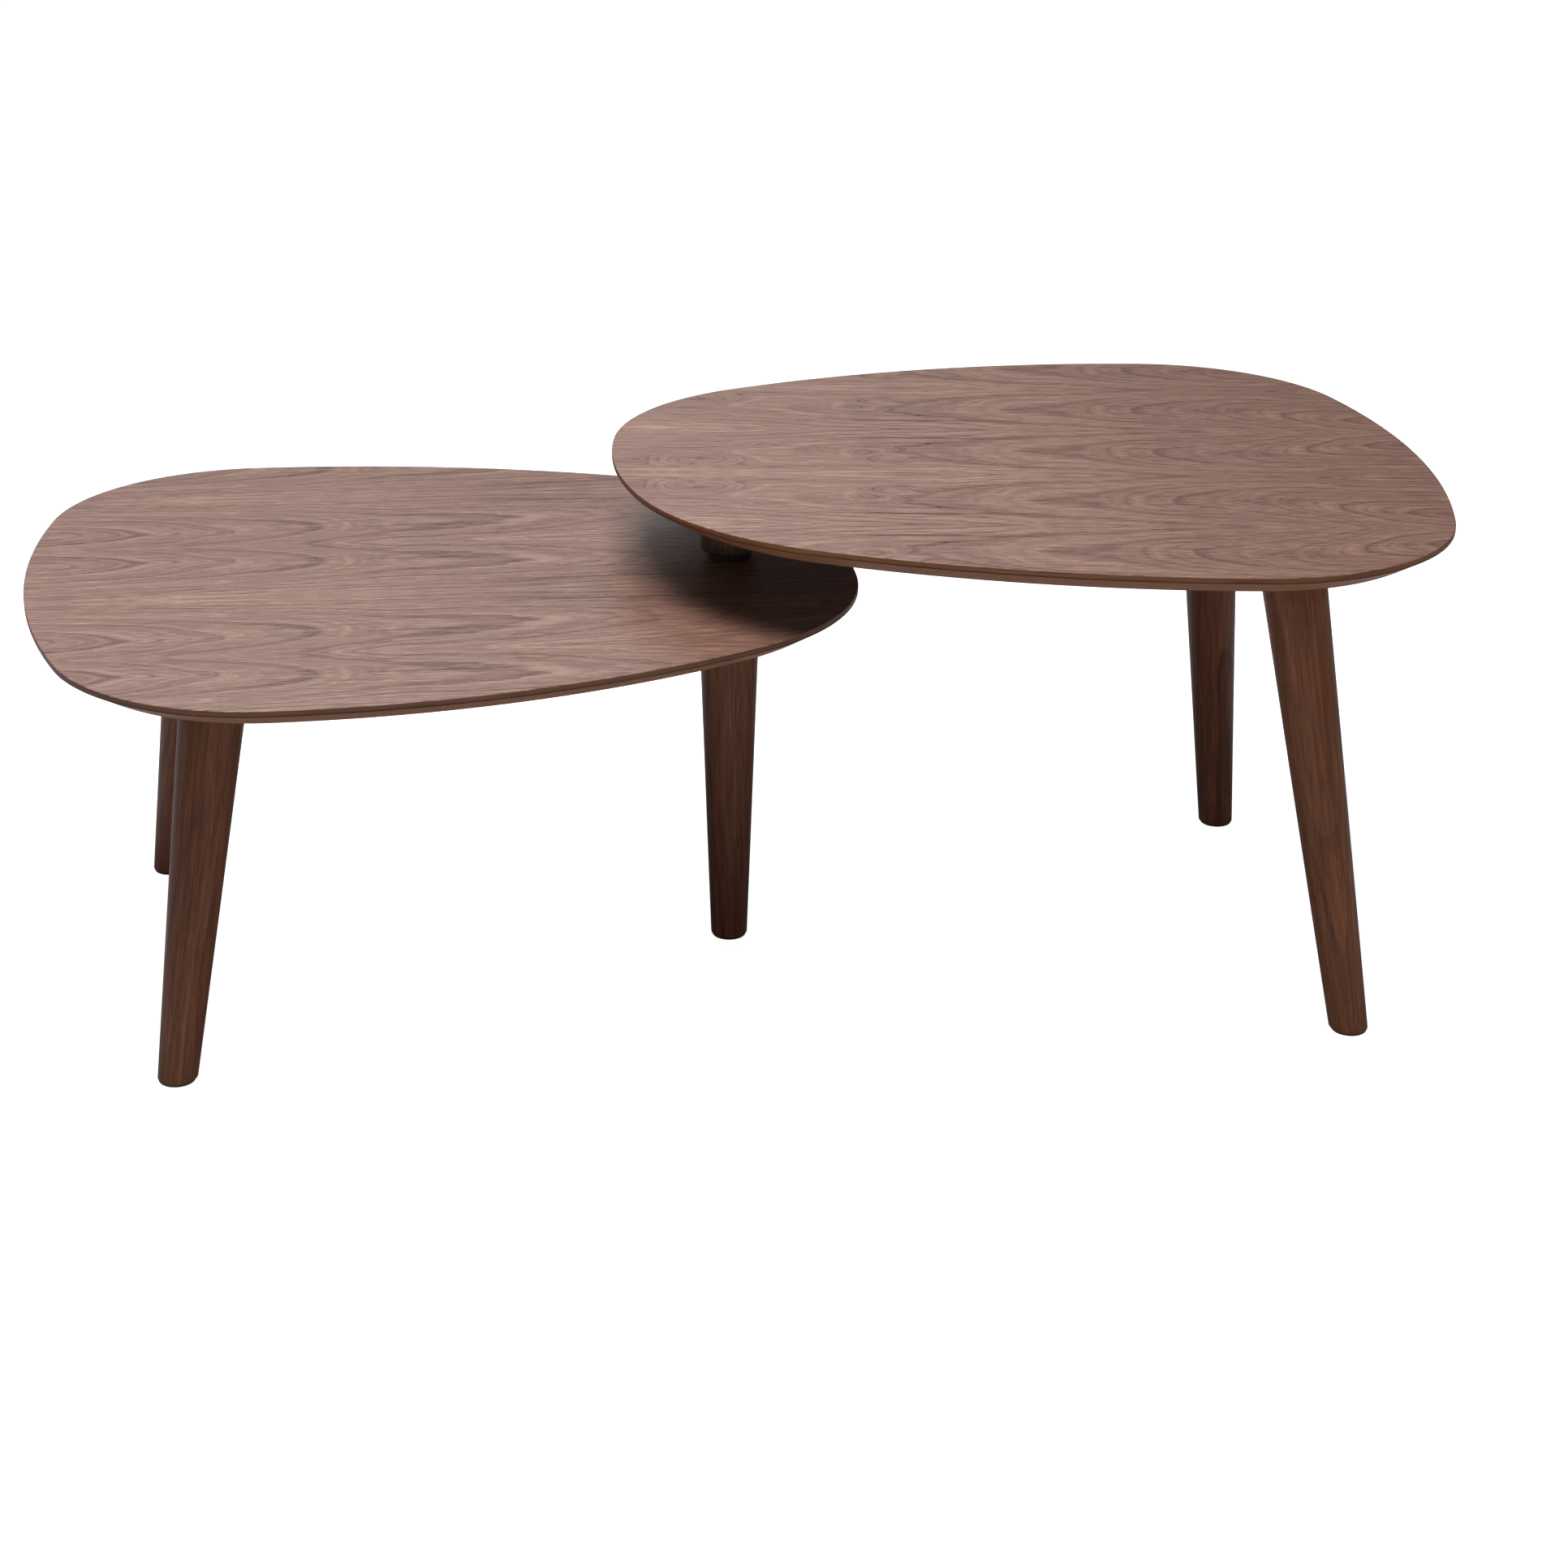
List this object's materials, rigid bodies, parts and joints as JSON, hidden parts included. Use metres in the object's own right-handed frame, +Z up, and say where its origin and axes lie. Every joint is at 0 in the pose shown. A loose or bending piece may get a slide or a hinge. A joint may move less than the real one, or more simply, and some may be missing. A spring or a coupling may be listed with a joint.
{
  "type": "swivelling two-tier coffee table",
  "caption": "Low two-tier coffee table with rounded walnut tops on splayed tapered legs; the upper top swivels over the lower one on a hidden shaft.",
  "frame": {"origin": "on the floor, at the centre of the upright leg's foot, on the swivel axis", "axes": "+X along the opened table towards the upper table's far end, +Y towards the rear, +Z up"},
  "size_m": [1.1865, 0.7131, 0.441],
  "materials": {
    "face_veneer": "satin lacquered walnut veneer",
    "backing_veneer": "matt walnut veneer",
    "edge_band": "satin walnut edge strip",
    "fibreboard": "stained and lacquered at the bevel",
    "solid_walnut": "satin lacquered solid walnut",
    "black_steel": "black powder coat",
    "zinc_steel": "bright zinc plate",
    "bearing_plastic": "dark nylon",
    "foot_plastic": "dark nylon"
  },
  "bodies": {
    "lower_table": {"lower_core": "fibreboard", "lower_face_veneer": "face_veneer", "lower_backing_veneer": "backing_veneer", "lower_edge_band": "edge_band", "lower_front_leg": "solid_walnut", "lower_rear_leg": "solid_walnut", "pivot_leg": "solid_walnut", "lower_front_plate": "black_steel", "lower_rear_plate": "black_steel", "pivot_plate": "black_steel", "lower_leg_screws": "zinc_steel", "lower_plate_screws": "zinc_steel", "lower_front_glide": "foot_plastic", "lower_rear_glide": "foot_plastic", "pivot_glide": "foot_plastic", "shaft_socket": "zinc_steel", "swivel_shaft": "zinc_steel", "thrust_ring": "bearing_plastic", "shaft_washer": "zinc_steel", "shaft_nut": "zinc_steel"},
    "upper_table": {"upper_core": "fibreboard", "upper_face_veneer": "face_veneer", "upper_backing_veneer": "backing_veneer", "upper_edge_band": "edge_band", "upper_front_leg": "solid_walnut", "upper_rear_leg": "solid_walnut", "post": "solid_walnut", "post_lower_bush": "bearing_plastic", "post_upper_bush": "bearing_plastic", "upper_front_plate": "black_steel", "upper_rear_plate": "black_steel", "post_plate": "black_steel", "upper_leg_screws": "zinc_steel", "upper_plate_screws": "zinc_steel", "upper_front_glide": "foot_plastic", "upper_rear_glide": "foot_plastic"}
  },
  "joints": [
    {"name": "swivel", "type": "hinge", "parent": "lower_table", "child": "upper_table", "pos_m": [0, 0, 0.39], "axis": [0, 0, 1], "range_deg": [-105, 115]}
  ]
}
